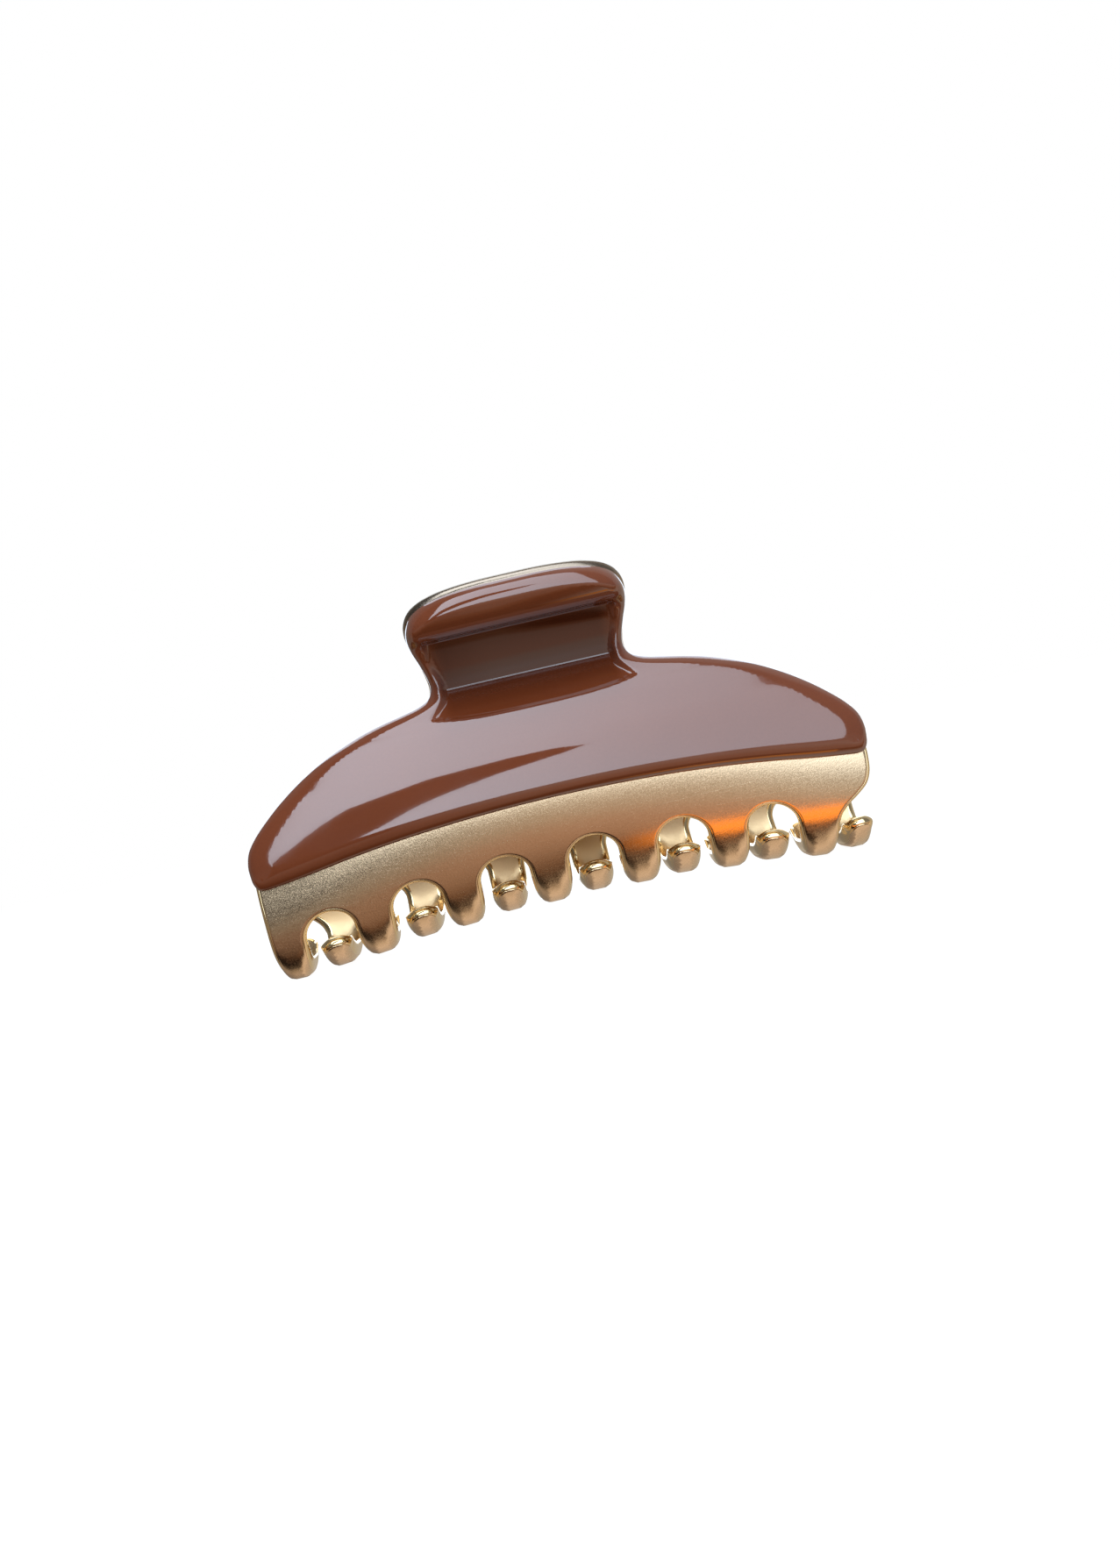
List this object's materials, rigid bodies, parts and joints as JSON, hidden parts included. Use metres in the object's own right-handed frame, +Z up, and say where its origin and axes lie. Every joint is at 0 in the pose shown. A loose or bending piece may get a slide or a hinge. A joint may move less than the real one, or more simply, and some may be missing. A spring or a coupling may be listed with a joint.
{
  "type": "claw clip",
  "caption": "Half-moon hair claw clip: toothed gold jaws with glossy covers and thumb tabs, on a sprung hinge.",
  "frame": {"origin": "centre of the footprint, at the height of the flats under the end teeth, jaws closed", "axes": "+X along the clip with the front jaw's full end tooth at -X; -Y towards the front jaw; +Z up, from the teeth to the thumb tabs"},
  "size_m": [0.1002, 0.0376, 0.0558],
  "materials": {
    "gold_plating": "moulded plastic with satin pale-gold electroplating outside and polished gold inside",
    "cover_gloss": "glossy chestnut brown, smooth and pillowed",
    "steel": "bright drawn wire"
  },
  "bodies": {
    "front_jaw": {"front_jaw_frame": "gold_plating", "front_cover": "cover_gloss", "hinge_pin": "steel", "torsion_spring": "steel"},
    "back_jaw": {"back_jaw_frame": "gold_plating", "back_cover": "cover_gloss"}
  },
  "joints": [
    {"name": "jaw_hinge", "type": "hinge", "parent": "front_jaw", "child": "back_jaw", "pos_m": [0, 0, 0.039], "axis": [1, 0, 0], "range_deg": [0, 60], "stiffness_Nm_per_rad": 0.12, "springref_deg": -28.65, "deforming": ["torsion_spring"]}
  ]
}
